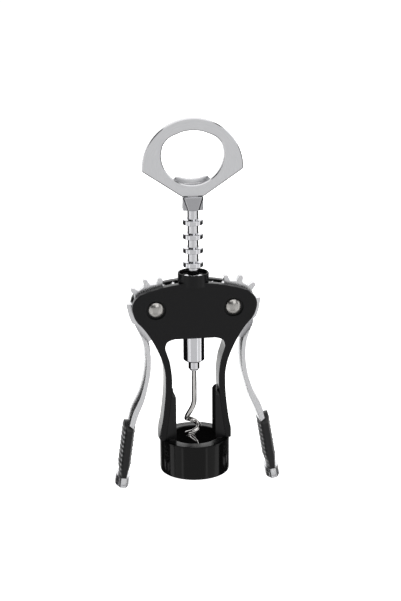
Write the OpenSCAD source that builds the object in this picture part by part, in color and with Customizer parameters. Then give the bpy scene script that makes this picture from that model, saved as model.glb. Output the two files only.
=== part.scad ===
// Lever corkscrew with a bottle-opener handle.
// Origin: centre of the bell's mouth, on the shaft's axis. +Z runs up the shaft, the front faces -Y
// and the levers hang at -X and +X.

/* [Bell] */
// Outer radius of the bell
bell_r = 18; // [17:0.1:24]
// Height of the bell
bell_h = 17.9; // [15:0.1:24]
// Radius of the bore that drops over a bottle's lip
bottle_r = 15.6; // [14.5:0.1:15.6]
// Depth of the bottle bore
bottle_depth = 11.5; // [8:0.1:12]
// Radius of the hole that the cork passes through
cork_r = 12; // [11:0.1:12.6]
// Wall of the frame's hoop inside the bell
hoop_wall = 1.35; // [1:0.05:1.4]
// Height of the liner's tongues above the bell
tongue_h = 26.6; // [15:0.1:29]

/* [Frame] */
// Height of the lever pivots above the bell's mouth
pivot_z = 87.6; // [75:0.1:110]
// Thickness of one head plate
plate_t = 3.9; // [3.8:0.1:5]
// Gap between the head plates, where the lever gears turn
slot_w = 4.8; // [4.4:0.1:6]
// Top of the head above the pivots, on the centre line
head_rise = 13.2; // [13:0.1:16]
// Radius of the head's domed top edge
head_top_r = 74; // [50:1:150]
// Reach of the head past each pivot
head_reach = 11.9; // [11:0.1:13]
// Drop from the pivots to the top of the window
window_drop = 15.8; // [15.5:0.1:20]
// Half width of the frame at its waist, outside the legs
waist_x = 15.2; // [14.8:0.1:18]
// Height of the waist above the bell's mouth
waist_z = 48; // [44:0.5:52]
// Width of a leg at the waist, seen from the front
leg_w = 3.3; // [3:0.1:4]
// How far the feet stand out past the bell
foot_step = 0.9; // [0.2:0.1:1.5]
// Outer radius of the collar
collar_r = 7.9; // [7.5:0.1:9]
// Height of the collar's rim above the head
collar_h = 4.1; // [2:0.1:6]

/* [Screw] */
// Pitch of the rings on the shaft
ring_pitch = 7.2; // [6.8:0.05:9]
// Number of rings
ring_count = 8; // [8:1:8]
// Outer radius of a ring
ring_r = 5.15; // [4.8:0.05:5.4]
// Thickness of a ring
ring_t = 2.7; // [2:0.1:2.8]
// Height of the bevels on a ring's rim
ring_bevel = 0.25; // [0.2:0.05:0.8]
// Radius of the shaft between the rings
core_r = 2.75; // [2.4:0.05:3]
// Radius of the barrel under the rings
barrel_r = 5.5; // [5.3:0.05:5.7]
// Length of the barrel
barrel_len = 20; // [15:0.5:24]
// Radius of the ferrule that holds the worm
ferrule_r = 2.95; // [2.4:0.05:4]
// Length of the ferrule below the barrel
ferrule_len = 5.1; // [3:0.1:6]
// Wire radius of the worm
wire_r = 1.35; // [1:0.05:1.6]
// Radius of the worm's centre line
worm_r = 3.1; // [2.5:0.1:4]
// Rise of the worm in one turn
worm_pitch = 8.4; // [8:0.1:12]
// How far the coil's centre line is off the shaft's axis
worm_shift = 0.9; // [0:0.1:1.5]
// Turns of the worm
worm_turns = 1.48; // [1.2:0.02:2]
// Straight length of wire below the ferrule
wire_straight = 15.8; // [10:0.1:17]
// Length of the bend from the straight wire to the first turn
wire_bend = 10.4; // [8:0.1:12]

/* [Levers] */
// Teeth in a whole turn of the lever's gear
teeth_per_turn = 12; // [12:1:12]
// Radius of the gear over its teeth
gear_tip_r = 15.6; // [15.4:0.05:16]
// Depth that a tooth reaches in past the ring's rim
mesh_depth = 1.3; // [1.1:0.1:1.8]
// How far the left lever hangs out from its even position, within the play of its gear
lean_left = -0.8; // [-2:0.1:2]
// How far the right lever hangs out from its even position, within the play of its gear
lean_right = 0.8; // [-2:0.1:2]
// Depth of a lever's arm, front to back
arm_depth = 12.6; // [10:0.1:16]
// Depth of the arm's thick middle
arm_rib = 6.4; // [5:0.1:9]
// How much thinner the arm is on each face outside its middle
arm_thin = 0.6; // [0.2:0.1:0.9]
// Depth of a grip, front to back
grip_depth = 15; // [13:0.5:18]
// Radius of a pivot rivet's shank
rivet_r = 2.4; // [2:0.1:2.8]
// Radius of a rivet's domed head
dome_r = 4; // [3.6:0.1:4.4]
// Height of a rivet's dome
dome_h = 2; // [1.5:0.1:2.4]

/* [Handle] */
// Radius of the handle's domed edge
handle_r = 25; // [22:0.1:30]
// Thickness of the handle plate
handle_t = 3; // [2.4:0.1:4]
// Height of the handle plate from its neck to its top
handle_h = 38.9; // [37:0.1:50]
// Radius of the round lower part of the finger hole
hole_r = 15.5; // [13:0.1:16]
// Height of the stem socket
socket_h = 6.9; // [6:0.1:12]
// Width of the stem socket
socket_w = 10.1; // [9:0.1:14]

/* [Clearances] */
// Radial clearance of the turning and sliding fits
run_gap = 0.08; // [0.05:0.01:0.1]
// Clearance on each side of a gear in the head's slot
gear_gap = 0.2; // [0.1:0.05:0.5]
// Radial clearance of the pressed and glued fits
press_gap = 0.02; // [0.01:0.01:0.03]

/* [Hidden] */
$fn = 72;

// how far a cutting shape passes the faces that it cuts
cut = 1;

// gear and rack
gear_t = slot_w - 2 * gear_gap;
tooth_angle = 360 / teeth_per_turn;
tooth_phase = 41.7;
tooth_count = 6;
tooth_tip = 1.15;
tooth_root = 1.45;
tooth_h = 3.2;
tooth_bury = 0.2;
gear_root_r = gear_tip_r - tooth_h;
pivot_x = gear_tip_r + ring_r - mesh_depth;

// head
head_y = slot_w / 2 + plate_t;
head_x = pivot_x + head_reach;
head_top = pivot_z + head_rise;
window_top = pivot_z - window_drop;
slot_floor = window_top - 0.8;
foot_x = bell_r + foot_step;
guide_h = 4;
guide_w = 8;
guide_bore_r = barrel_r + 0.12;
head_bore_r = ring_r + 0.35;

// rivets
recess_r = dome_r + 0.8;
recess_depth = 1.2;
rivet_face = head_y - recess_depth;
rim_h = 0.6;
washer_t = 0.4;
peen_r = rivet_r + 0.7;
peen_h = 1;

// collar and bush
collar_base = head_top - 2.1;
collar_rim = head_top + collar_h;
collar_wall = 1;
bush_lip = 0.9;
bush_h = 3.4;
bush_r = collar_r - collar_wall;

// bell
hoop_r = bottle_r - press_gap + 0.85;
hoop_bore = hoop_r - hoop_wall;
liner_r = hoop_bore - press_gap;
tongue_y = head_y - 0.1;
tongue_step = 2.5;
tongue_arch = 7;
tongue_lift = 0.2;
tongue_bore = cork_r - 0.3;
tongue_gap = 2 * press_gap;
mouth_chamfer = 0.6;

// shaft, measured from the ring at the pivots' height
ring_z0 = pivot_z;
ring_low = -1;
ring_flat_r = ring_r - 0.6;
ring_base = ring_t + 0.4;
shaft_top = ring_z0 + (ring_count - 2) * ring_pitch + 6;
barrel_top = ring_z0 + ring_low * ring_pitch - ring_base / 2 - 0.5;
barrel_bottom = barrel_top - barrel_len;
spigot_r = 3.4;
spigot_len = 10;
ferrule_socket = 5;
ferrule_step = 0.6;
barrel_chamfer = 0.8;
pin_r = 0.9;
pin_drop = 3;
pin_recess = 0.2;

// worm, from the wire's end inside the barrel down to its point
wire_hold = 7;
bend_turn = 70;
point_drop = 2.6;
wire_sides = 14;
wire_top = barrel_bottom - ferrule_len + wire_hold;
bend_z = barrel_bottom - ferrule_len - wire_straight;
coil_z = bend_z - wire_bend;

// handle
neck_x = socket_w / 2 + 0.3;
socket_bottom = shaft_top;
handle_z = socket_bottom + socket_h;
handle_centre = handle_z + handle_h - handle_r;
corner_drop = 0.6;
socket_back = 3.6;
socket_front = 2.2;
keystone_y = 3.2;
keystone_bevel = 0.8;
tiny = 0.05;
keystone_low_x = socket_w / 4 + 0.4;
bore_depth = 4.2;
tang_slot = 2;
tang_w = 6;
lip_t = 2.2;
lip_root = 0.5;
ridge = 1.5;
// the hole's round lower part, closed by a flatter arc over the top
hole_centre = handle_z + 21.2;
hole_low = hole_centre - hole_r;

// levers: the arm hangs from the pivot, and the grip's axis leans out
arm_top = [pivot_x + 10.7, pivot_z - 8];
arm_low = [pivot_x + 3.8, pivot_z - 17.4];
grip_top = 24.4;
grip_bottom = -1.2;
grip_lean = 8.6;
grip_x = pivot_x + 17;
grip_mid = 13;
grip_low = grip_bottom - grip_mid;
grip_high = grip_top - grip_mid;
grip_w = 6.8;
grip_flat = 3;
grip_taper_h = 6;
grip_taper_w = 4.2;
grip_crown = 3.6;
grip_collar_w = 6.8;
grip_over = 8;
insert_t = 2.4;
insert_depth = 9;
insert_low = 3;
insert_high = 4;
tip_h = 5.2;
tip_w = 7.4;
tip_flat = 2.8;
tip_depth = grip_depth - 0.4;
tip_notch = [2.2, 2, 2];

// ---- helpers ----

function mirrored(p) = concat(p, [for (i = [len(p) - 1 : -1 : 0]) [-p[i][0], p[i][1]]]);
function spline_point(a, b, c, d, t) =
    b + 0.5 * t * (c - a + t * (2 * a - 5 * b + 4 * c - d + t * (3 * (b - c) + d - a)));
// a smooth curve through the points, with n steps from each point to the next
function spline(p, n = 6) = let (m = len(p) - 1) concat(
    [for (i = [0 : m - 1]) for (k = [0 : n - 1])
        spline_point(p[max(i - 1, 0)], p[i], p[i + 1], p[min(i + 2, m)], k / n)],
    [p[m]]);
// a drawing in X and Z, made solid from y0 to y1
module slab(y0, y1) {
    translate([0, y1, 0]) rotate([90, 0, 0]) linear_extrude(y1 - y0) children();
}
module tube(r, bore, z0, z1) {
    difference() {
        translate([0, 0, z0]) cylinder(r = r, h = z1 - z0);
        translate([0, 0, z0 - cut]) cylinder(r = bore, h = z1 - z0 + 2 * cut);
    }
}
module at_pivot() {
    translate([pivot_x, 0, pivot_z]) rotate([90, 0, 0]) children();
}
module left_side() {
    mirror([1, 0, 0]) children();
}
// turns a right lever's piece out about its pivot
module leaned(angle) {
    translate([pivot_x, 0, pivot_z]) rotate([0, -angle, 0]) translate([-pivot_x, 0, -pivot_z]) children();
}

// ---- outlines in X and Z ----

function head_arc(x) = head_top - x * x / (2 * head_top_r);
function frame_edge() = concat(
    [for (i = [0 : 8]) let (x = i / 8 * (pivot_x + 4)) [x, head_arc(x)]],
    spline([
        [pivot_x + 7.4, head_arc(pivot_x + 7.4)],
        [head_x - 1.2, pivot_z + 5.2],
        [head_x, pivot_z + 1.6],
        [head_x - 0.5, pivot_z - 2],
        [head_x - 2.1, pivot_z - 5.7],
        [pivot_x + 6.05, pivot_z - 10.1],
        [pivot_x + 2.5, pivot_z - 15.6],
        [pivot_x - 0.5, pivot_z - 21.6],
        [pivot_x - 2.8, pivot_z - 27.6],
        [waist_x + 0.2, waist_z + 6],
        [waist_x, waist_z],
        [waist_x + 0.4, waist_z - 8],
        [(waist_x + foot_x) / 2, (waist_z + 2 * bell_h) / 3],
        [foot_x, bell_h + 2],
    ]),
    [[foot_x, bell_h]]);
function window_edge() = concat(
    [[0, window_top]],
    spline([
        [pivot_x - 9, window_top],
        [pivot_x - 5.6, window_top - 1.3],
        [pivot_x - 4.4, window_top - 4.4],
        [pivot_x - 5.3, window_top - 8],
        [pivot_x - 6.6, window_top - 12.4],
        [waist_x - leg_w, waist_z + 4],
        [waist_x - leg_w, waist_z - 3],
    ]),
    leg_foot(0),
    [[0, bell_h]]);
// the leg's inner edge below the waist, moved in towards the axis by gap
function leg_foot(gap) = [
    [waist_x - leg_w - gap, waist_z - 3],
    [(waist_x - leg_w + hoop_bore) / 2 - gap, (waist_z + bell_h) / 2],
    [hoop_bore - gap, bell_h + 2],
    [hoop_bore - gap, bell_h],
];
// the lever's flat part in the slot, drawn about its pivot: the toothed gear, then the web to the arm
function tooth_edge(k) =
    let (
        turn = tooth_phase + k * tooth_angle,
        tip_at = gear_tip_r - tooth_tip,
        side = concat(
            [[gear_root_r - tooth_bury, -tooth_root]],
            [for (a = [0 : 30 : 60]) [tip_at + tooth_tip * sin(a), -tooth_tip * cos(a)]])
    ) [for (p = concat(side, [[gear_tip_r, 0]], [for (i = [3 : -1 : 0]) [side[i][0], -side[i][1]]]))
        [p[0] * cos(turn) - p[1] * sin(turn), p[0] * sin(turn) + p[1] * cos(turn)]];
function gear_edge() = concat(
    [for (k = [0 : tooth_count - 1]) each tooth_edge(k)],
    [for (a = [205 : 9 : 268]) [gear_root_r * cos(a), gear_root_r * sin(a)]],
    [
        [3.8, -18],
        [3.6, -24],
        [5.4, -26],
        [6.6, -18],
        [arm_top[0] - pivot_x, arm_top[1] - pivot_z],
        [12, -7],
        [13.4, -3],
        [14.4, 2.6],
        [10.6, 2.6],
    ]);
function arm_outer(thin) = spline([
    arm_top,
    [pivot_x + 8.3 - thin / 2, pivot_z - 13.6],
    [pivot_x + 6.8 - thin, pivot_z - 18.8],
    [pivot_x + 6.3 - thin, pivot_z - 24.1],
    [pivot_x + 6.4 - thin, pivot_z - 30.2],
    [pivot_x + 7.6 - thin, pivot_z - 37.7],
    [pivot_x + 10 - thin, pivot_z - 45.5],
    [grip_x - 3.2 - thin, grip_top + 10.1],
    [grip_x - 1.1 - thin, grip_top + 3],
]);
function arm_inner(thin) = spline([
    [grip_x - 4.4 + thin, grip_top],
    [grip_x - 6.8 + thin, grip_top + 7],
    [pivot_x + 6.9 + thin, pivot_z - 48.2],
    [pivot_x + 5.1 + thin, pivot_z - 41.4],
    [pivot_x + 3.5 + thin, pivot_z - 34.6],
    [pivot_x + 2.9 + thin, pivot_z - 28.1],
    [pivot_x + 3 + thin, pivot_z - 22.6],
    arm_low,
]);
// the arm's upper end runs beside the head's edge
function arm_start() = spline([
    arm_low,
    [pivot_x + 6.2, pivot_z - 13.4],
    [pivot_x + 8.6, pivot_z - 10.4],
    arm_top,
], 3);
// the lever inside the grip, in the grip's own leaning frame
module in_grip() {
    translate([grip_x, 0, grip_mid]) rotate([0, -grip_lean, 0]) children();
}

// ---- frame body ----

module frame() {
    color("#1b1b1c") {
        difference() {
            intersection() {
                slab(-head_y, head_y) polygon(mirrored(frame_edge()));
                union() {
                    translate([0, 0, bell_h - cut]) cylinder(r = foot_x, h = waist_z - bell_h + cut);
                    translate([-head_x - cut, -head_y - cut, waist_z])
                        cube([2 * (head_x + cut), 2 * (head_y + cut), head_top + cut - waist_z]);
                }
            }
            slab(-head_y - cut, head_y + cut) polygon(mirrored(window_edge()));
            head_slot();
            translate([0, 0, bell_h]) cylinder(r = guide_bore_r, h = barrel_top + cut - bell_h);
            shaft_way();
            for (s = [0, 1]) mirror([s, 0, 0]) rivet_hole();
        }
        collar();
        tube(hoop_r, hoop_bore, bottle_depth, bell_h);
    }
}
module head_slot() {
    difference() {
        slab(-slot_w / 2, slot_w / 2) polygon(mirrored([
            [0, head_top + cut],
            [head_x + cut, head_top + cut],
            [head_x + cut, slot_floor],
            [0, slot_floor],
        ]));
        translate([-guide_w, -head_y, slot_floor - cut])
            cube([2 * guide_w, 2 * head_y, window_top + guide_h - slot_floor + cut]);
    }
}
module rivet_hole() {
    at_pivot() {
        translate([0, 0, -head_y - cut]) cylinder(r = rivet_r, h = 2 * (head_y + cut));
        for (s = [0, 1]) mirror([0, 0, s]) translate([0, 0, rivet_face])
            cylinder(r = recess_r, h = recess_depth + cut);
    }
}
module collar() {
    difference() {
        translate([0, 0, collar_base]) cylinder(r = collar_r, h = collar_rim - collar_base);
        shaft_way();
    }
}
// the way for the ringed shaft up through the head, and the bush's seat above it
module shaft_way() {
    translate([0, 0, bell_h]) cylinder(r = head_bore_r, h = collar_rim + cut - bell_h);
    translate([0, 0, collar_base + bush_lip])
        cylinder(r = bush_r + run_gap, h = collar_rim + cut - collar_base - bush_lip);
}
module bell() {
    color("#0c0c0d") difference() {
        cylinder(r = bell_r, h = bell_h);
        translate([0, 0, -cut]) cylinder(r = bottle_r, h = bell_h + 2 * cut);
        translate([0, 0, bottle_depth]) cylinder(r = hoop_r + press_gap, h = bell_h);
    }
}
module bell_liner() {
    color("#161617") {
        liner_ring();
        for (s = [0, 1]) mirror([s, 0, 0]) tongue();
    }
}
module liner_ring() {
    rotate_extrude() polygon([
        [cork_r, bottle_depth],
        [liner_r, bottle_depth],
        [liner_r, bell_h],
        [cork_r + mouth_chamfer, bell_h],
        [cork_r, bell_h - mouth_chamfer],
    ]);
}
module tongue() {
    top = bell_h + tongue_h;
    face = cork_r - tongue_step;
    difference() {
        intersection() {
            slab(-tongue_y, tongue_y) polygon(concat(
                [[face, bell_h - cut]],
                spline([[face, top - 2.6], [face + 0.8, top - 0.7], [waist_x - leg_w - 0.4, top]], 5),
                leg_foot(tongue_gap),
                [[hoop_bore - tongue_gap, bell_h - cut]]));
            union() {
                translate([0, 0, bell_h - cut]) cylinder(r = liner_r, h = 1.5 * cut);
                translate([0, -tongue_y, bell_h + tongue_lift])
                    cube([bell_r, 2 * tongue_y, tongue_h - tongue_arch - tongue_lift]);
                translate([0, 0, top - tongue_arch]) rotate([0, 90, 0])
                    cylinder(r = tongue_arch, h = bell_r);
            }
        }
        translate([0, 0, bell_h - 2 * cut]) cylinder(r = tongue_bore, h = tongue_h + 4 * cut);
    }
}
module rivet() {
    sphere_r = (dome_r * dome_r + dome_h * dome_h) / (2 * dome_h);
    at_pivot() {
        translate([0, 0, -rivet_face - washer_t])
            cylinder(r = rivet_r - run_gap, h = 2 * rivet_face + washer_t + rim_h);
        translate([0, 0, rivet_face]) cylinder(r = dome_r, h = rim_h);
        intersection() {
            translate([0, 0, rivet_face + rim_h + dome_h - sphere_r]) sphere(r = sphere_r);
            translate([0, 0, rivet_face + rim_h]) cylinder(r = dome_r, h = dome_h);
        }
        translate([0, 0, -rivet_face - washer_t - peen_h]) cylinder(r = peen_r, h = peen_h);
    }
}
module rivet_right() {
    color("#b9b9bb") rivet();
}
module rivet_left() {
    color("#b9b9bb") left_side() rivet();
}
module rivet_washer() {
    at_pivot() tube(dome_r, rivet_r, -rivet_face - washer_t, -rivet_face);
}
module rivet_washer_right() {
    color("#a5a5a8") rivet_washer();
}
module rivet_washer_left() {
    color("#a5a5a8") left_side() rivet_washer();
}
module guide_bush() {
    color("#202022") tube(bush_r, ring_r + run_gap, collar_base + bush_lip, collar_base + bush_lip + bush_h);
}

// ---- levers ----

module lever() {
    difference() {
        union() {
            translate([pivot_x, 0, pivot_z]) slab(-gear_t / 2, gear_t / 2) polygon(gear_edge());
            arm_layer(arm_rib, 0);
            arm_layer(arm_depth, arm_thin);
            in_grip() translate([-insert_t / 2, -insert_depth / 2, grip_low - insert_low])
                cube([insert_t, insert_depth, grip_high - grip_low + insert_low + insert_high]);
        }
        at_pivot() translate([0, 0, -gear_t / 2 - cut]) cylinder(r = rivet_r, h = gear_t + 2 * cut);
    }
}
module arm_layer(depth, thin) {
    slab(-depth / 2, depth / 2) polygon(concat(arm_outer(thin), arm_inner(thin), arm_start()));
}
module lever_right() {
    color("#c4c4c6") leaned(lean_right) lever();
}
module lever_left() {
    color("#c4c4c6") left_side() leaned(lean_left) lever();
}
// lens-shaped section, w wide and d deep, with blunt front and rear faces
function lens(w, d, flat) = mirrored(spline([
    [flat / 2, -d / 2],
    [w / 2 * 0.86, -d / 4],
    [w / 2, 0],
    [w / 2 * 0.86, d / 4],
    [flat / 2, d / 2],
], 4));
module grip() {
    difference() {
        in_grip() intersection() {
            translate([0, 0, grip_low]) linear_extrude(grip_high - grip_low + grip_over)
                polygon(lens(grip_w, grip_depth, grip_flat));
            slab(-grip_depth, grip_depth) polygon(mirrored([
                [grip_taper_w / 2, grip_low],
                [grip_collar_w / 2, grip_low + grip_taper_h],
                [grip_collar_w / 2, grip_high + grip_over],
            ]));
            rotate([0, 0, 90]) slab(-grip_w, grip_w) polygon(mirrored(concat(
                [[0, grip_low], [grip_depth / 2, grip_low]],
                spline([
                    [grip_depth / 2, grip_high],
                    [grip_depth / 4, grip_high + grip_crown - 1],
                    [0, grip_high + grip_crown],
                ], 5))));
        }
        lever();
    }
}
module grip_right() {
    color("#1f1f20") leaned(lean_right) grip();
}
module grip_left() {
    color("#1f1f20") left_side() leaned(lean_left) grip();
}
module tip() {
    difference() {
        in_grip() difference() {
            translate([0, 0, grip_low - tip_h]) linear_extrude(tip_h)
                polygon(lens(tip_w, tip_depth, tip_flat));
            translate([-tip_notch[0] / 2, -grip_depth / 2 - cut, grip_low - tip_h + 1]) cube(tip_notch);
        }
        lever();
    }
}
module tip_right() {
    color("#d0d0d2") leaned(lean_right) tip();
}
module tip_left() {
    color("#d0d0d2") left_side() leaned(lean_left) tip();
}

// ---- screw body ----

module rack_shaft() {
    color("#c9c9cb") difference() {
        union() {
            rotate_extrude() polygon(concat(
                [[0, barrel_top - spigot_len], [spigot_r, barrel_top - spigot_len], [spigot_r, barrel_top],
                 [core_r, barrel_top]],
                [for (k = [ring_low : ring_count - 2]) each ring_profile(ring_z0 + k * ring_pitch)],
                [[core_r, shaft_top + bore_depth], [0, shaft_top + bore_depth]]));
        }
        barrel_pin_shape();
        socket_pin_shape();
    }
}
function ring_profile(z) = [
    [core_r, z - ring_base / 2],
    [ring_flat_r, z - ring_t / 2],
    [ring_r, z - ring_t / 2 + ring_bevel],
    [ring_r, z + ring_t / 2 - ring_bevel],
    [ring_flat_r, z + ring_t / 2],
    [core_r, z + ring_base / 2],
];
module barrel() {
    color("#cfcfd1") difference() {
        rotate_extrude() polygon([
            [0, barrel_bottom],
            [barrel_r - barrel_chamfer, barrel_bottom],
            [barrel_r, barrel_bottom + barrel_chamfer],
            [barrel_r, barrel_top],
            [0, barrel_top],
        ]);
        translate([0, 0, barrel_top - spigot_len]) cylinder(r = spigot_r + press_gap, h = spigot_len + cut);
        translate([0, 0, barrel_bottom - cut]) cylinder(r = ferrule_r + press_gap, h = ferrule_socket + cut);
        translate([0, 0, barrel_bottom - cut]) cylinder(r = wire_r + press_gap, h = barrel_len);
        barrel_pin_shape();
    }
}
module barrel_pin_shape() {
    translate([-barrel_r - cut, 0, barrel_top - pin_drop]) rotate([0, 90, 0])
        cylinder(r = pin_r, h = 2 * (barrel_r + cut));
}
module barrel_pin() {
    color("#8e8e92") intersection() {
        barrel_pin_shape();
        translate([0, 0, barrel_top - 2 * pin_drop]) cylinder(r = barrel_r - pin_recess, h = 2 * pin_drop);
    }
}
module worm_ferrule() {
    color("#b4b4b7") difference() {
        union() {
            translate([0, 0, barrel_bottom - ferrule_len + ferrule_step])
                cylinder(r = ferrule_r, h = ferrule_len + ferrule_socket - ferrule_step);
            translate([0, 0, barrel_bottom - ferrule_len])
                cylinder(r = ferrule_r - ferrule_step, h = 2 * ferrule_step);
        }
        worm_blank(wire_r + press_gap);
    }
}
module worm_blank(r) {
    translate([0, 0, barrel_bottom - ferrule_len - cut]) cylinder(r = r, h = wire_hold + 2 * cut);
}

// ---- worm: straight wire, a bend out to the coil, then a right-handed coil that ends in a point ----

function ease(t) = t * t * (3 - 2 * t);
function bend_point(t) = let (a = 180 + bend_turn * (1 - t), r = worm_r * ease(t))
    [r * cos(a) - worm_shift * ease(t), r * sin(a), bend_z - t * wire_bend];
function coil_point(turns) = let (a = 180 - 360 * turns)
    [worm_r * cos(a) - worm_shift, worm_r * sin(a), coil_z - turns * worm_pitch - tip_reach(turns)];
// the last half turn runs steeper, down to the point
function tip_reach(turns) = point_drop * pow(max(0, turns - worm_turns + 0.5) / 0.5, 2);
worm_path = concat(
    [[0, 0, wire_top], [0, 0, bend_z + 1]],
    [for (i = [0 : 9]) bend_point(i / 10)],
    [for (i = [0 : 40]) coil_point(i / 40 * worm_turns)]);
function worm_size(i) = let (left = (len(worm_path) - 1 - i) / 5) wire_r * min(1, 0.15 + 0.85 * left);
function unit(v) = v / norm(v);
function wire_ring(i) =
    let (
        ahead = worm_path[min(i + 1, len(worm_path) - 1)],
        behind = worm_path[max(i - 1, 0)],
        along = unit(ahead - behind),
        side = unit(cross(along, [0.2, 1, 0])),
        other = cross(along, side)
    ) [for (k = [0 : wire_sides - 1]) let (a = 360 * k / wire_sides)
        worm_path[i] + worm_size(i) * (cos(a) * side + sin(a) * other)];
module worm() {
    rings = len(worm_path);
    points = [for (i = [0 : rings - 1]) each wire_ring(i)];
    faces = concat(
        [[for (k = [0 : wire_sides - 1]) k]],
        [for (i = [0 : rings - 2]) for (k = [0 : wire_sides - 1]) let (n = (k + 1) % wire_sides)
            [i * wire_sides + k, (i + 1) * wire_sides + k, (i + 1) * wire_sides + n, i * wire_sides + n]],
        [[for (k = [wire_sides - 1 : -1 : 0]) (rings - 1) * wire_sides + k]]);
    color("#bdbdc0") polyhedron(points, faces);
}

// ---- handle ----

module stem_socket() {
    color("#a9a9ac") difference() {
        union() {
            translate([-socket_w / 2, -socket_front, socket_bottom])
                cube([socket_w, socket_front + socket_back, socket_h]);
            keystone();
        }
        translate([0, 0, socket_bottom - cut]) cylinder(r = core_r + press_gap, h = bore_depth + cut);
        translate([-tang_w / 2 - press_gap, -handle_t / 2 - press_gap, handle_z - tang_slot])
            cube([tang_w + 2 * press_gap, handle_t + 2 * press_gap, tang_slot + cut]);
        socket_pin_shape();
    }
}
module keystone() {
    hull() {
        slab(-keystone_y, -socket_front) keystone_edge(keystone_bevel);
        slab(-socket_front - tiny, -socket_front + tiny) keystone_edge(0);
    }
}
module keystone_edge(inset) {
    top_x = socket_w / 2 - inset;
    low_x = keystone_low_x - inset;
    polygon([
        [-top_x, handle_z], [top_x, handle_z], [low_x, socket_bottom], [-low_x, socket_bottom],
    ]);
}
module socket_pin_shape() {
    translate([-socket_w, 0, socket_bottom + bore_depth / 2]) rotate([0, 90, 0])
        cylinder(r = pin_r, h = 2 * socket_w);
}
module socket_pin() {
    color("#8e8e92") intersection() {
        socket_pin_shape();
        translate([-socket_w / 2, -socket_front, socket_bottom])
            cube([socket_w, socket_front + socket_back, socket_h]);
    }
}
module opener_handle() {
    half = handle_t / 2;
    color("#b3b4b6") {
        difference() {
            slab(-half, half) {
                polygon(mirrored(handle_edge()));
                translate([-tang_w / 2, handle_z - tang_slot]) square([tang_w, tang_slot + cut]);
            }
            slab(-half - cut, half + cut) polygon(mirrored(hole_edge()));
        }
        cap_lifter();
    }
}
function handle_edge() = concat(
    [for (i = [0 : 36]) let (a = 90 - i / 36 * (90 + asin(corner_drop / handle_r)))
        [handle_r * cos(a), handle_centre + handle_r * sin(a)]],
    [[neck_x, handle_z]]);
function hole_edge() = concat(
    spline([
        [0, hole_centre + 11.7],
        [2, hole_centre + 11.6],
        [4.4, hole_centre + 11.2],
        [7.1, hole_centre + 10.3],
        [hole_r - 4, hole_centre + 8.2],
        [hole_r - 1, hole_centre + 4.6],
        [hole_r, hole_centre],
    ], 8),
    [for (i = [1 : 24]) let (a = i / 24 * 90) [hole_r * cos(a), hole_centre - hole_r * sin(a)]]);
module cap_lifter() {
    half = handle_t / 2;
    difference() {
        slab(half - lip_root, half + lip_t) polygon(mirrored(concat(
            [[0, hole_low + 2.6]],
            spline([
                [3, hole_low + 2.7],
                [6.4, hole_low + 3.5],
                [8, hole_low + 3.4],
                [8.9, hole_low + 2.4],
                [8.4, hole_low + 0.8],
                [5.4, hole_low - 3.2],
            ], 4),
            [[0, hole_low - 3.2]])));
        slab(-half, half) polygon(mirrored(hole_edge()));
        // the lip's face is pressed to a shallow ridge
        for (s = [0, 1]) mirror([s, 0, 0]) translate([0, 0, hole_low]) linear_extrude(4 * lip_t) polygon([
            [0, half], [2 * neck_x, half + ridge], [2 * neck_x, 0], [0, 0],
        ]);
    }
}

frame();
bell();
bell_liner();
guide_bush();
rivet_left();
rivet_right();
rivet_washer_left();
rivet_washer_right();
lever_left();
lever_right();
grip_left();
grip_right();
tip_left();
tip_right();
rack_shaft();
barrel();
barrel_pin();
worm_ferrule();
worm();
stem_socket();
socket_pin();
opener_handle();
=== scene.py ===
from math import cos, pi, radians, sin, tan

import bmesh
import bpy
from mathutils import Matrix, Vector


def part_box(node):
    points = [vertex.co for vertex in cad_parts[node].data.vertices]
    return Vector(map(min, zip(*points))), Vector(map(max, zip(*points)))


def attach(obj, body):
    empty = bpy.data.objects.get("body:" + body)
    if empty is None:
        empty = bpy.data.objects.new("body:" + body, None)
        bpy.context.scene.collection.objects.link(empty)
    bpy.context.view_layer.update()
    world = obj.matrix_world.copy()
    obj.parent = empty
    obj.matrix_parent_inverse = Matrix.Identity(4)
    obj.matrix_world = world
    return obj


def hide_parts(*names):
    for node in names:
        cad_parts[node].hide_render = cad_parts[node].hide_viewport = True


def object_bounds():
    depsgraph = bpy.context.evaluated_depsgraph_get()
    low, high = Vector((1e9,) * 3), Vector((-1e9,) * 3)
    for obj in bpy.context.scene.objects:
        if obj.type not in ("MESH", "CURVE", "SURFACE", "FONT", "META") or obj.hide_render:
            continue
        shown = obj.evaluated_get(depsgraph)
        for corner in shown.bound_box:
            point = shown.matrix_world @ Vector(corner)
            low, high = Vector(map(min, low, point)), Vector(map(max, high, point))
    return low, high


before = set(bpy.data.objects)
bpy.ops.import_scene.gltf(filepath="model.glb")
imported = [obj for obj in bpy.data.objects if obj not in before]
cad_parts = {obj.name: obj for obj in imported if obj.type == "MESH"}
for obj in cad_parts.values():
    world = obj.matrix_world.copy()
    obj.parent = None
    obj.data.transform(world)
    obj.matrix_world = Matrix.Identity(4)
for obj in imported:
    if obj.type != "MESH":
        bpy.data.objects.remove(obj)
cad_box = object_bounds()
MM = 0.001


# ---- Studio ----
# A pale floor under soft panels: a row of them round the front, three higher up, one low down and
# one behind, with dark gaps between front and back that draw the edges of the chrome.
def linear(hex_code):
    parts = [int(hex_code[i:i + 2], 16) / 255 for i in (1, 3, 5)]
    return [c / 12.92 if c <= 0.04045 else ((c + 0.055) / 1.055) ** 2.4 for c in parts] + [1]


def node(tree, kind, links=None, values=None, **settings):
    made = tree.nodes.new("ShaderNode" + kind)
    for key, value in settings.items():
        setattr(made, key, value)
    for key, value in (values or {}).items():
        made.inputs[key].default_value = value
    for key, source in (links or {}).items():
        tree.links.new(source, made.inputs[key])
    return made


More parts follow.
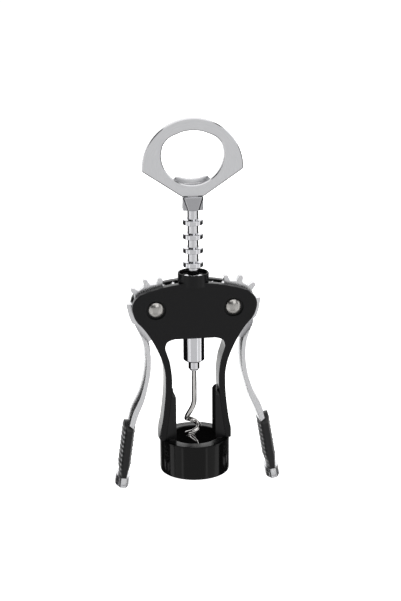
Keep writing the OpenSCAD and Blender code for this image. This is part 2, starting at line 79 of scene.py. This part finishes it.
def new_material(name, colour, roughness, metallic=0, **sockets):
    """A material with its shader's even values set; returns it with its node tree and shader."""
    material = bpy.data.materials.new(name)
    material.use_nodes = True
    tree = material.node_tree
    shader = tree.nodes["Principled BSDF"]
    shader.inputs["Base Color"].default_value = linear(colour)
    shader.inputs["Roughness"].default_value = roughness
    shader.inputs["Metallic"].default_value = metallic
    for key, value in sockets.items():
        shader.inputs[key.replace("_", " ")].default_value = value
    return material, tree, shader


# white paper that glows a little: it leaves the ground even and almost white, without a shadow
floor_gap, floor_size, floor_back, paper_glow = 0.4 * MM, 14, 3, 0.97
floor_level = cad_box[0][2] - floor_gap
bpy.ops.mesh.primitive_plane_add(size=floor_size, location=(0, floor_back, floor_level))
floor = bpy.context.object
floor.name = "floor"
floor.visible_glossy = False
floor.visible_shadow = False
paper, tree, shader = new_material("studio_paper", "#f4f4f4", 0.9)
shader.inputs["Emission Color"].default_value = linear("#ffffff")
shader.inputs["Emission Strength"].default_value = paper_glow
floor.data.materials.append(paper)

# each panel: turn from the front, lift, half its width and half its height in degrees, and its glow
middle = (Vector(cad_box[0]) + Vector(cad_box[1])) / 2
panel_distance, air_glow = 1.2, 0.035
for name, turn, lift, half_width, half_height, glow in (
    ("front_panel", -8, -12, 40, 36, 0.82),
    ("front_high_panel", 20, 42, 17, 13, 2.2),
    ("front_left_panel", -60, -14, 14, 34, 1.05),
    ("front_right_panel", 45, -14, 15, 34, 1.0),
    ("left_panel", -86, -8, 8, 40, 1.6),
    ("right_panel", 70, -8, 8, 40, 1.5),
    ("high_right_panel", 92, 30, 16, 14, 1.8),
    ("back_panel", 172, 0, 32, 50, 1.5),
    ("low_panel", -8, -72, 36, 17, 0.9),
    ("top_panel", 0, 84, 34, 26, 1.7),
):
    lamp = bpy.data.lights.new(name, "AREA")
    lamp.shape = "RECTANGLE"
    lamp.size = 2 * panel_distance * tan(radians(half_width))
    lamp.size_y = 2 * panel_distance * tan(radians(half_height))
    lamp.energy = glow * pi * lamp.size * lamp.size_y
    panel = bpy.data.objects.new(name, lamp)
    away = Vector((sin(radians(turn)) * cos(radians(lift)), -cos(radians(turn)) * cos(radians(lift)),
                   sin(radians(lift))))
    panel.location = middle + away * panel_distance
    panel.rotation_euler = away.to_track_quat("Z", "Y").to_euler()
    panel.visible_camera = False
    bpy.context.collection.objects.link(panel)

world = bpy.data.worlds.new("studio_air")
world.use_nodes = True
world.node_tree.nodes["Background"].inputs["Color"].default_value = linear("#ffffff")
world.node_tree.nodes["Background"].inputs["Strength"].default_value = air_glow
bpy.context.scene.world = world
bpy.context.scene.view_settings.view_transform = "Standard"

# the camera looks down from the front, a little from the left
elevation, azimuth, roll = radians(17.334), radians(7.639), radians(0.38)
distance, aim = 789.83 * MM, Vector((3.528 * MM, 0, 89.946 * MM))
focal_length, sensor_height = 94.4296, 36
ahead = Vector((0, cos(elevation), -sin(elevation)))
level, above = Vector((1, 0, 0)), Vector((0, sin(elevation), cos(elevation)))
right = cos(roll) * level - sin(roll) * above
up = sin(roll) * level + cos(roll) * above
turned_frame = Matrix.Rotation(-azimuth, 4, "Z")
pose = Matrix((right, up, -ahead)).transposed().to_4x4()
pose.translation = aim - ahead * distance
lens = bpy.data.cameras.new("camera")
lens.sensor_fit = "VERTICAL"
lens.sensor_height = sensor_height
lens.lens = focal_length
lens.clip_start = 0.01
camera = bpy.data.objects.new("camera", lens)
camera.matrix_world = turned_frame @ pose
bpy.context.collection.objects.link(camera)
bpy.context.scene.camera = camera


# ---- Frame ----
# A zinc die casting: two head plates with the gear slot between them, two legs, a collar and a hoop
# that the bell is pressed on. It is painted satin black.
SHARP, FLAT, MERGE = radians(28), radians(1), 0.002 * MM


def cad_copy(name):
    """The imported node's mesh with its triangles merged into faces."""
    bm = bmesh.new()
    bm.from_mesh(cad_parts[name].data)
    bmesh.ops.remove_doubles(bm, verts=bm.verts, dist=MERGE)
    bmesh.ops.dissolve_limit(bm, angle_limit=FLAT, verts=bm.verts, edges=bm.edges)
    return bm


def soften(bm, width, segments=3, sharp=SHARP, where=None):
    """Rounds the edges that turn by more than the sharp angle, or those of them that where picks."""
    edges = [e for e in bm.edges if e.is_manifold and e.calc_face_angle(0) > sharp]
    edges = [e for e in edges if where is None or where(e)]
    bmesh.ops.bevel(bm, geom=edges, offset=width * MM, affect="EDGES", segments=segments, profile=0.5,
                    material=-1, clamp_overlap=False)
    bmesh.ops.remove_doubles(bm, verts=bm.verts, dist=2.5 * MERGE)


def piece(name, bm, body, material, slot, *nodes):
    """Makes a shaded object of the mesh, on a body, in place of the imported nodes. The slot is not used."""
    for face in bm.faces:
        face.smooth = True
    for edge in bm.edges:
        edge.smooth = edge.is_manifold and edge.calc_face_angle(0) < SHARP
    mesh = bpy.data.meshes.new(name)
    bm.to_mesh(mesh)
    bm.free()
    mesh.materials.append(material)
    made = bpy.data.objects.new(name, mesh)
    bpy.context.collection.objects.link(made)
    shading = made.modifiers.new("even_shading", "WEIGHTED_NORMAL")
    shading.keep_sharp = True
    if nodes:
        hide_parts(*nodes)
    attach(made, body)
    return made


# satin powder coat: a fine orange peel and a slightly uneven sheen
paint, tree, shader = new_material("satin_black_paint", "#0c0c0d", 0.24, Specular_IOR_Level=0.16)
place = node(tree, "TexCoord").outputs["Object"]
peel = node(tree, "TexNoise", {"Vector": place}, {"Scale": 1 / (0.7 * MM), "Detail": 2})
sheen = node(tree, "TexNoise", {"Vector": place}, {"Scale": 1 / (9 * MM), "Detail": 3})
spread = node(tree, "MapRange", {"Value": sheen.outputs["Fac"]}, {"To Min": 0.2, "To Max": 0.3})
bumps = node(tree, "Bump", {"Height": peel.outputs["Fac"]}, {"Strength": 0.12, "Distance": 0.03 * MM})
tree.links.new(spread.outputs["Result"], shader.inputs["Roughness"])
tree.links.new(bumps.outputs["Normal"], shader.inputs["Normal"])

plate_y, slot_y, foot_z = 6.3 * MM, 2.4 * MM, 20 * MM
rim_depth, off_plane, casting_round = 0.1 * MM, 0.02 * MM, 0.55
collar_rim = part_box("frame")[1][2]


def on_plate_rim(edge):
    """True for an edge round a head plate, a leg or the collar's rim, above the feet."""
    low = min(v.co.z for v in edge.verts)
    deep = [abs(v.co.y) for v in edge.verts]
    on_collar = collar_rim - low < rim_depth
    on_plate = any(all(abs(d - y) < off_plane for d in deep) for y in (plate_y, slot_y))
    return on_collar or low > foot_z and on_plate


bm = cad_copy("frame")
soften(bm, casting_round, where=on_plate_rim)
piece("frame_casting", bm, "frame", paint, "frame_paint", "frame")


# ---- Bell and liner ----
# The bell is a gloss black moulding that drops over the bottle's lip. The liner is a satin black
# moulding inside the hoop, with a tongue up the inside of each leg.
def turned(profile, steps=96):
    """A profile of radii and heights in mm, spun about the shaft's axis."""
    bm = bmesh.new()
    verts = [bm.verts.new((r * MM, 0, z * MM)) for r, z in profile]
    edges = [bm.edges.new(ends) for ends in zip(verts, verts[1:])]
    bmesh.ops.spin(bm, geom=verts + edges, axis=(0, 0, 1), cent=(0, 0, 0), angle=2 * pi, steps=steps,
                   use_merge=True)
    bmesh.ops.remove_doubles(bm, verts=bm.verts, dist=MERGE)
    bmesh.ops.recalc_face_normals(bm, faces=bm.faces)
    return bm


bell_r, bell_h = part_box("bell")[1][0] / MM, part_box("bell")[1][2] / MM
bottle_r, bottle_depth, hoop_r = 15.6, 11.5, 16.46
mouth_in, mouth_h, brim_in, brim_h, bell_steps = 0.25, 1.6, 0.3, 1.1, 144
bm = turned([
    (bottle_r, 0), (bell_r - mouth_in, 0), (bell_r, mouth_h),
    (bell_r, bell_h - brim_h), (bell_r - brim_in, bell_h), (hoop_r, bell_h),
    (hoop_r, bottle_depth), (bottle_r, bottle_depth), (bottle_r, 0),
], bell_steps)
soften(bm, 0.3)
# polished ABS: mirror gloss with very fine wipe marks
gloss, tree, shader = new_material("gloss_black_abs", "#040404", 0.12, Specular_IOR_Level=0.16)
place = node(tree, "TexCoord").outputs["Object"]
wiped = node(tree, "TexNoise", {"Vector": place}, {"Scale": 1 / (5 * MM), "Detail": 6, "Roughness": 0.7})
spread = node(tree, "MapRange", {"Value": wiped.outputs["Fac"]}, {"To Min": 0.07, "To Max": 0.15})
tree.links.new(spread.outputs["Result"], shader.inputs["Roughness"])
shell = piece("bell_shell", bm, "frame", gloss, "bell_gloss", "bell")

# moulded nylon: satin, with a faint grain from the tool
satin, tree, shader = new_material("satin_black_nylon", "#0b0b0c", 0.28, Specular_IOR_Level=0.22)
place = node(tree, "TexCoord").outputs["Object"]
grain = node(tree, "TexNoise", {"Vector": place}, {"Scale": 1 / (0.5 * MM), "Detail": 2})
bumps = node(tree, "Bump", {"Height": grain.outputs["Fac"]}, {"Strength": 0.1, "Distance": 0.02 * MM})
tree.links.new(bumps.outputs["Normal"], shader.inputs["Normal"])
bm = cad_copy("bell_liner")
soften(bm, 0.25)
liner = piece("liner", bm, "frame", satin, "liner_plastic", "bell_liner")

# inside, where the cork and the bottle's lip go, both mouldings get a matt black that barely reflects:
# painted shade for the dark inside of the bell
bore_shade_black, tree, shader = new_material("painted_shade_bore", "#070707", 0.8, Specular_IOR_Level=0.04)
place = node(tree, "TexCoord").outputs["Object"]
grain = node(tree, "TexNoise", {"Vector": place}, {"Scale": 1 / (0.6 * MM), "Detail": 3})
bumps = node(tree, "Bump", {"Height": grain.outputs["Fac"]}, {"Strength": 0.2, "Distance": 0.03 * MM})
tree.links.new(bumps.outputs["Normal"], shader.inputs["Normal"])
shade_below = bell_h * MM - 0.4 * MM
# the inward faces below the brim take the painted shade
for moulding in (shell, liner):
    moulding.data.materials.append(bore_shade_black)
    for face in moulding.data.polygons:
        inward = face.normal.x * face.center.x + face.normal.y * face.center.y < 0
        if inward and face.center.z < shade_below:
            face.material_index = 1

# the bush in the collar is a matt black ring that the shaft runs in
acetal, tree, shader = new_material("matt_black_acetal", "#19191a", 0.5)
place = node(tree, "TexCoord").outputs["Object"]
grain = node(tree, "TexNoise", {"Vector": place}, {"Scale": 1 / (0.4 * MM)})
bumps = node(tree, "Bump", {"Height": grain.outputs["Fac"]}, {"Strength": 0.15, "Distance": 0.02 * MM})
tree.links.new(bumps.outputs["Normal"], shader.inputs["Normal"])
bm = cad_copy("guide_bush")
soften(bm, 0.2)
piece("collar_bush", bm, "bush", acetal, "bush_plastic", "guide_bush")


# ---- Rivets ----
# Each lever turns on a steel rivet with a polished dome in front and a washer under its peened end.
# Tumbling leaves the domes bright but not quite even.
dome, tree, shader = new_material("tumbled_rivet_steel", "#a5a3a0", 0.3, 1)
place = node(tree, "TexCoord").outputs["Object"]
dents = node(tree, "TexNoise", {"Vector": place}, {"Scale": 1 / (1.6 * MM), "Detail": 2})
bumps = node(tree, "Bump", {"Height": dents.outputs["Fac"]}, {"Strength": 0.5, "Distance": 0.12 * MM})
smears = node(tree, "TexNoise", {"Vector": place}, {"Scale": 1 / (0.6 * MM), "Detail": 4})
spread = node(tree, "MapRange", {"Value": smears.outputs["Fac"]}, {"To Min": 0.22, "To Max": 0.36})
tree.links.new(spread.outputs["Result"], shader.inputs["Roughness"])
tree.links.new(bumps.outputs["Normal"], shader.inputs["Normal"])
for side in ("left", "right"):
    bm = cad_copy("rivet_" + side)
    soften(bm, 0.25)
    piece("rivet_head_" + side, bm, "frame", dome, "rivet_steel", "rivet_" + side)
# plain steel: duller than the domes and a little smeared, so the small trim stays quiet
plain, tree, shader = new_material("plain_steel", "#b3b3b5", 0.35, 1)
place = node(tree, "TexCoord").outputs["Object"]
smears = node(tree, "TexNoise", {"Vector": place}, {"Scale": 1 / (0.8 * MM), "Detail": 4})
spread = node(tree, "MapRange", {"Value": smears.outputs["Fac"]}, {"To Min": 0.28, "To Max": 0.45})
tree.links.new(spread.outputs["Result"], shader.inputs["Roughness"])
for name in ("rivet_washer_left", "rivet_washer_right", "barrel_pin", "socket_pin"):
    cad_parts[name].data.materials.clear()
    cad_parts[name].data.materials.append(plain)


# ---- Levers ----
# Each lever is a zinc casting with satin chrome plating: a flat gear and web in the head's slot, and a
# broad arm of lens section that sweeps down to the grip.
def unit_section(points):
    """A closed loop of vertices in X and Y, ready to extrude."""
    bm = bmesh.new()
    verts = [bm.verts.new((x, y, 0)) for x, y in points]
    edges = [bm.edges.new(ends) for ends in zip(verts, verts[1:] + verts[:1])]
    return bm, edges


def loft(section, stations):
    """Extrudes a unit section through a row of 4x4 stations and closes both ends."""
    bm, edges = unit_section(section)
    bmesh.ops.transform(bm, matrix=stations[0], verts=bm.verts)
    ends = [list(edges)]
    for before, after in zip(stations, stations[1:]):
        made = bmesh.ops.extrude_edge_only(bm, edges=edges)["geom"]
        verts = [g for g in made if isinstance(g, bmesh.types.BMVert)]
        edges = [g for g in made if isinstance(g, bmesh.types.BMEdge)
                 and all(v in set(verts) for v in g.verts)]
        bmesh.ops.transform(bm, matrix=after @ before.inverted(), verts=verts)
    ends.append(edges)
    for loop in ends:
        bmesh.ops.contextual_create(bm, geom=loop)
    bmesh.ops.recalc_face_normals(bm, faces=bm.faces)
    return bm


def smooth_row(points, steps):
    """A smooth row of points through the given ones."""
    row = []
    for i in range(len(points) - 1):
        a, b, c, d = (Vector(points[min(max(i + k, 0), len(points) - 1)]) for k in (-1, 0, 1, 2))
        for k in range(steps):
            t = k / steps
            row.append(b + 0.5 * t * (c - a + t * (2 * a - 5 * b + 4 * c - d + t * (3 * (b - c) + d - a))))
    return row + [Vector(points[-1])]


pivot_x, pivot_z = 19.45, 87.6
gear_t, gear_tip_r, gear_root_r, tooth_tip, tooth_root = 4.4, 15.6, 12.4, 1.15, 1.45
tooth_phase, tooth_angle, tooth_count, tooth_sink = 41.7, 30, 6, 0.2
gear_bevel, gear_corner, arm_bevel, arm_corner = 0.2, radians(60), 0.3, radians(40)
arm_depth, arm_edge, arm_steps = 12.6, 0.62, 6
lean = {"left": -0.8, "right": 0.8}
# in X and Z from the pivot: the arm's outer and inner edge, and the web between gear and arm
OUTER = [(10.7, -8), (8.3, -13.6), (6.8, -18.8), (6.3, -24.1), (6.4, -30.2), (7.6, -37.7), (10, -45.5),
         (13.8, -53.1), (15.9, -60.2)]
INNER = [(3.8, -17.4), (3.2, -20.2), (2.95, -24), (2.95, -28.5), (3.5, -34.6), (5.1, -41.4), (6.9, -48.2),
         (10.2, -56.2), (12.6, -63.2)]
WEB = [(3.8, -17.8), (5.4, -26), (6.6, -18), (10.7, -8), (12, -7), (13.4, -3), (14.4, 2.6), (10.6, 2.6)]
ROUND_TIP, PLAIN_ARC = (30, 60, 90), range(205, 268, 8)


def lever_frame(side):
    """Places a lever drawn about its pivot, in mm, at the left or right pivot."""
    turn = Matrix.Rotation(radians(-lean[side]), 4, "Y")
    flip = Matrix.Scale(-1, 4, (1, 0, 0)) if side == "left" else Matrix.Identity(4)
    return flip @ Matrix.Scale(MM, 4) @ Matrix.Translation((pivot_x, 0, pivot_z)) @ turn


def gear_outline():
    """The teeth, the plain arc after them and the web, in X and Z about the pivot."""
    points = []
    for k in range(tooth_count):
        turn = Matrix.Rotation(radians(tooth_phase + k * tooth_angle), 2)
        tip_at = gear_tip_r - tooth_tip
        tooth = [(gear_root_r - tooth_sink, -tooth_root), (tip_at, -tooth_tip)]
        for a in ROUND_TIP:
            tooth.append((tip_at + tooth_tip * sin(radians(a)), -tooth_tip * cos(radians(a))))
        tooth += [(x, -y) for x, y in reversed(tooth[:-1])]
        points += [tuple(turn @ Vector(p)) for p in tooth]
    points += [(gear_root_r * cos(radians(a)), gear_root_r * sin(radians(a))) for a in PLAIN_ARC]
    return points + WEB


for side in ("left", "right"):
    place_lever = lever_frame(side)
    bm = bmesh.new()
    verts = [bm.verts.new((x, -gear_t / 2, z)) for x, z in gear_outline()]
    face = bm.faces.new(verts)
    made = bmesh.ops.extrude_face_region(bm, geom=[face])["geom"]
    bmesh.ops.translate(bm, vec=(0, gear_t, 0), verts=[g for g in made if isinstance(g, bmesh.types.BMVert)])
    bmesh.ops.recalc_face_normals(bm, faces=bm.faces)
    corners = [e for e in bm.edges if e.calc_face_angle(0) > gear_corner]
    bmesh.ops.bevel(bm, geom=corners, offset=gear_bevel, affect="EDGES", segments=2, profile=0.5, material=-1)
    web_mesh = bpy.data.meshes.new("web")
    bm.to_mesh(web_mesh)
    bm.free()
    section = [(0.5 * (1 - (1 - arm_edge) * (k / arm_steps) ** 2), k / arm_steps / 2)
               for k in range(-arm_steps, arm_steps + 1)]
    section += [(-x, -y) for x, y in section]
    stations = []
    for outer, inner in zip(smooth_row(OUTER, 4), smooth_row(INNER, 4)):
        across = outer - inner
        along = Vector((across[1], 0, -across[0])).normalized()
        stations.append(Matrix((
            (across[0], 0, along[0], (outer[0] + inner[0]) / 2),
            (0, arm_depth, 0, 0),
            (across[1], 0, along[2], (outer[1] + inner[1]) / 2),
            (0, 0, 0, 1))))
    bm = loft(section, stations)
    corners = [e for e in bm.edges if e.calc_face_angle(0) > arm_corner]
    bmesh.ops.bevel(bm, geom=corners, offset=arm_bevel, affect="EDGES", segments=3, profile=0.5, material=-1)
    bm.from_mesh(web_mesh)
    bmesh.ops.transform(bm, matrix=place_lever, verts=bm.verts)
    bmesh.ops.recalc_face_normals(bm, faces=bm.faces)
    if side == "left":
        # satin chrome on zinc: soft reflections with a faint polishing grain
        plated, tree, shader = new_material("satin_chrome", "#cfcfd1", 0.24, 1)
        place = node(tree, "TexCoord").outputs["Object"]
        stretch = node(tree, "Mapping", {"Vector": place}, {"Scale": (1, 1, 0.12)})
        grain = node(tree, "TexNoise", {"Vector": stretch.outputs["Vector"]},
                     {"Scale": 1 / (0.35 * MM), "Detail": 3})
        spread = node(tree, "MapRange", {"Value": grain.outputs["Fac"]}, {"To Min": 0.18, "To Max": 0.34})
        bumps = node(tree, "Bump", {"Height": grain.outputs["Fac"]},
                     {"Strength": 0.12, "Distance": 0.02 * MM})
        tree.links.new(spread.outputs["Result"], shader.inputs["Roughness"])
        tree.links.new(bumps.outputs["Normal"], shader.inputs["Normal"])
    piece("lever_arm_" + side, bm, "lever_" + side, plated, "lever_chrome", "lever_" + side)


# ---- Grips and tips ----
# Soft black rubber is moulded round the end of each lever, with small raised dots on its broad faces
# and a smooth front edge. A chromed foot closes its lower end.
grip_x, grip_lean, grip_w, grip_depth, grip_crown = 17.0, 8.6, 5.9, 14.4, 3.6
grip_mid, grip_low, grip_high = 13 - pivot_z, -1.2 - pivot_z, 24.4 - pivot_z
foot_share, taper_share, rim_pull = 0.62, 0.22, 0.48
dot_pitch, dot_h, rim_fade, low_fade, high_fade = 2.5, 0.42, 6, 12, 14
MIX_FROM, MIX_TO, MIXED = 6, 7, 2
# soft rubber: dull black with a fine grain, and a pale painted highlight on the tops of its dots
rubber, tree, shader = new_material("soft_black_rubber", "#0b0b0c", 0.4, Specular_IOR_Level=0.3)
dot_highlight_attribute = node(tree, "Attribute", attribute_name="painted_dot_highlight")
tone = node(tree, "Mix", {"Factor": dot_highlight_attribute.outputs["Fac"]}, data_type="RGBA")
tone.inputs[MIX_FROM].default_value = linear("#0b0b0c")
tone.inputs[MIX_TO].default_value = linear("#b8b8b9")
tree.links.new(tone.outputs[MIXED], shader.inputs["Base Color"])
place = node(tree, "TexCoord").outputs["Object"]
grain = node(tree, "TexNoise", {"Vector": place}, {"Scale": 1 / (0.3 * MM), "Detail": 3})
bumps = node(tree, "Bump", {"Height": grain.outputs["Fac"]}, {"Strength": 0.3, "Distance": 0.04 * MM})
tree.links.new(bumps.outputs["Normal"], shader.inputs["Normal"])
rows, half = 76, 20
rim = [(0.5 * (1 - rim_pull * abs(k / half) ** 2), k / half / 2) for k in range(-half, half + 1)]
rim += [(-x, -y) for x, y in rim]
# the small recess in the foot's front lies before this depth, and stays sharp
foot_front = -6.3 * MM
for side in ("left", "right"):
    length = grip_high - grip_low
    stations = []
    for k in range(rows + 1):
        z = grip_low - grip_mid + length * k / rows
        width = grip_w * min(1, foot_share + (1 - foot_share) * (k / rows) / taper_share)
        stations.append(Matrix.Translation((0, 0, z)) @ Matrix.Diagonal((width, grip_depth, 1, 1)))
    bm = loft(rim, stations)
    # each vertex keeps how much painted highlight its dot top takes
    painted_dot_highlight = bm.verts.layers.float.new("painted_dot_highlight")
    for vert in bm.verts:
        x, y, z = vert.co
        deep = y / (grip_depth / 2)
        t = (z + grip_mid - grip_low) / length
        vert.co.z += t * grip_crown * (1 - deep * deep)
        lattice = (cos(2 * pi * y / dot_pitch) + cos(2 * pi * vert.co.z / dot_pitch)) / 2
        fade = max(0, 1 - abs(deep) ** rim_fade) * min(1, low_fade * t, high_fade * (1 - t))
        vert[painted_dot_highlight] = max(0, lattice) * fade
        vert.co.x += dot_h * max(0, lattice) * fade * (1 if x > 0 else -1)
    tilt = Matrix.Translation((grip_x, 0, grip_mid)) @ Matrix.Rotation(radians(-grip_lean), 4, "Y")
    bmesh.ops.transform(bm, matrix=lever_frame(side) @ tilt, verts=bm.verts)
    bmesh.ops.triangulate(bm, faces=[f for f in bm.faces if len(f.verts) > 4])
    bmesh.ops.recalc_face_normals(bm, faces=bm.faces)
    piece("grip_rubber_" + side, bm, "lever_" + side, rubber, "grip_rubber", "grip_" + side)
    bm = cad_copy("tip_" + side)
    soften(bm, 0.2, where=lambda edge: min(v.co.y for v in edge.verts) > foot_front)
    piece("foot_" + side, bm, "lever_" + side, plated, "tip_chrome", "tip_" + side)


# ---- Shaft, barrel and worm ----
# The shaft is turned with a row of rings for the lever gears and chromed. The barrel is pressed and
# pinned on below it, and holds a ferrule with the worm, a right-handed coil of bright steel wire.
core_r, ring_r, ring_flat_r, ring_t, ring_bevel, ring_pitch = 2.75, 5.15, 4.55, 2.7, 0.25, 7.2
ring_foot, ring_places, turned_sharp = 0.2, range(-1, 7), radians(20)
barrel_r, barrel_chamfer, barrel_steps, spigot_r = 5.5, 0.8, 128, 3.4
ferrule_r, ferrule_len, nose_in, nose_h, nose_top, ferrule_sink = 2.95, 5.1, 0.6, 0.5, 1, 1
barrel_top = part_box("barrel")[1][2] / MM
barrel_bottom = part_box("barrel")[0][2] / MM
shaft_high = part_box("rack_shaft")[1][2] / MM
shaft_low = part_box("rack_shaft")[0][2] / MM
profile = [(0, shaft_low), (spigot_r, shaft_low), (spigot_r, barrel_top), (core_r, barrel_top)]
for k in ring_places:
    z = pivot_z + k * ring_pitch
    half_base = ring_t / 2 + ring_foot
    profile += [(core_r, z - half_base), (ring_flat_r, z - ring_t / 2),
                (ring_r, z - ring_t / 2 + ring_bevel), (ring_r, z + ring_t / 2 - ring_bevel),
                (ring_flat_r, z + ring_t / 2), (core_r, z + half_base)]
bm = turned(profile + [(core_r, shaft_high), (0, shaft_high)])
soften(bm, 0.18, sharp=turned_sharp)
# bright chrome: near mirror, with faint turning marks round the shaft
chrome, tree, shader = new_material("bright_chrome", "#c8c8cb", 0.09, 1)
place = node(tree, "TexCoord").outputs["Object"]
stretch = node(tree, "Mapping", {"Vector": place}, {"Scale": (0.08, 0.08, 1)})
rings = node(tree, "TexNoise", {"Vector": stretch.outputs["Vector"]},
             {"Scale": 1 / (0.25 * MM), "Detail": 3})
spread = node(tree, "MapRange", {"Value": rings.outputs["Fac"]}, {"To Min": 0.05, "To Max": 0.16})
bumps = node(tree, "Bump", {"Height": rings.outputs["Fac"]}, {"Strength": 0.08, "Distance": 0.02 * MM})
tree.links.new(spread.outputs["Result"], shader.inputs["Roughness"])
tree.links.new(bumps.outputs["Normal"], shader.inputs["Normal"])
piece("ringed_shaft", bm, "screw", chrome, "shaft_chrome", "rack_shaft")

bm = turned([
    (0, barrel_bottom), (barrel_r - barrel_chamfer, barrel_bottom),
    (barrel_r, barrel_bottom + barrel_chamfer), (barrel_r, barrel_top), (0, barrel_top),
], barrel_steps)
soften(bm, 0.3, sharp=turned_sharp)
piece("barrel_sleeve", bm, "screw", chrome, "barrel_chrome", "barrel")

ferrule_low = barrel_bottom - ferrule_len
bm = turned([
    (0, ferrule_low), (ferrule_r - nose_in, ferrule_low), (ferrule_r - nose_in, ferrule_low + nose_h),
    (ferrule_r, ferrule_low + nose_top), (ferrule_r, barrel_bottom + ferrule_sink),
    (0, barrel_bottom + ferrule_sink),
])
soften(bm, 0.2)
piece("ferrule_collar", bm, "screw", chrome, "ferrule_steel", "worm_ferrule")

# drawn wire: bright, with faint streaks from the die along it
wire, tree, shader = new_material("bright_drawn_wire", "#bdbbb9", 0.12, 1)
place = node(tree, "TexCoord").outputs["Object"]
streaks = node(tree, "TexNoise", {"Vector": place}, {"Scale": 1 / (0.5 * MM), "Detail": 4})
spread = node(tree, "MapRange", {"Value": streaks.outputs["Fac"]}, {"To Min": 0.07, "To Max": 0.2})
tree.links.new(spread.outputs["Result"], shader.inputs["Roughness"])
bm = cad_copy("worm")
worm = piece("worm_coil", bm, "screw", wire, "worm_steel", "worm")
rounding = worm.modifiers.new("rounding", "SUBSURF")
rounding.levels = rounding.render_levels = 1


# ---- Handle ----
# A steel plate is stamped to a fan shape with a finger hole, its lip pressed back to lift crown caps,
# and brushed in arcs. A plated zinc socket with a keystone boss joins it to the shaft.
# plated zinc: smooth and greyer than the plate, with a faint grain from the mould
cast, tree, shader = new_material("plated_zinc", "#a4a4a7", 0.22, 1)
place = node(tree, "TexCoord").outputs["Object"]
grain = node(tree, "TexNoise", {"Vector": place}, {"Scale": 1 / (0.5 * MM), "Detail": 3})
spread = node(tree, "MapRange", {"Value": grain.outputs["Fac"]}, {"To Min": 0.16, "To Max": 0.28})
tree.links.new(spread.outputs["Result"], shader.inputs["Roughness"])
bm = cad_copy("stem_socket")
soften(bm, 0.35)
piece("socket_casting", bm, "screw", cast, "socket_zinc", "stem_socket")

# brushed steel: fine arcs about the fan's centre spread the light into a soft, even grey
fan_r, arc_length, flat_side = 25 * MM, 1.2 * MM, 0.97
handle_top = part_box("opener_handle")[1][2]
hub = Vector((0, 0, handle_top - fan_r))
brushed, tree, shader = new_material("arc_brushed_steel", "#cbccce", 0.3, 1)
place = node(tree, "TexCoord").outputs["Object"]
centred = node(tree, "Mapping", {"Vector": place}, {"Location": -hub})
radius = node(tree, "VectorMath", {0: centred.outputs["Vector"]}, operation="LENGTH")
parts = node(tree, "SeparateXYZ", {"Vector": centred.outputs["Vector"]})
turn = node(tree, "Math", {0: parts.outputs["X"], 1: parts.outputs["Z"]}, operation="ARCTAN2")
slow = node(tree, "Math", {0: turn.outputs["Value"]}, {1: arc_length}, operation="MULTIPLY")
polar = node(tree, "CombineXYZ", {"X": radius.outputs["Value"], "Y": slow.outputs["Value"]})
scratches = node(tree, "TexNoise", {"Vector": polar.outputs["Vector"]},
                 {"Scale": 1 / (0.3 * MM), "Detail": 4})
spread = node(tree, "MapRange", {"Value": scratches.outputs["Fac"]}, {"To Min": 0.26, "To Max": 0.38})
bumps = node(tree, "Bump", {"Height": scratches.outputs["Fac"]}, {"Strength": 0.1, "Distance": 0.03 * MM})
tone = node(tree, "Mix", {"Factor": scratches.outputs["Fac"]}, data_type="RGBA")
tone.inputs[MIX_FROM].default_value = linear("#c0c1c3")
tone.inputs[MIX_TO].default_value = linear("#d8d8da")
tree.links.new(tone.outputs[MIXED], shader.inputs["Base Color"])
tree.links.new(spread.outputs["Result"], shader.inputs["Roughness"])
tree.links.new(bumps.outputs["Normal"], shader.inputs["Normal"])
bm = cad_copy("opener_handle")
soften(bm, 0.45, 1)
plate = piece("opener_plate", bm, "screw", brushed, "handle_steel", "opener_handle")

# the chamfers, the edges and the cap lifter's lip are buffed bright
buffed, tree, shader = new_material("buffed_steel", "#b9b9bb", 0.2, 1)
place = node(tree, "TexCoord").outputs["Object"]
swirls = node(tree, "TexNoise", {"Vector": place}, {"Scale": 1 / (0.7 * MM), "Detail": 3})
spread = node(tree, "MapRange", {"Value": swirls.outputs["Fac"]}, {"To Min": 0.14, "To Max": 0.28})
tree.links.new(spread.outputs["Result"], shader.inputs["Roughness"])
plate.data.materials.append(buffed)
for face in plate.data.polygons:
    if abs(face.normal.y) < flat_side:
        face.material_index = 1
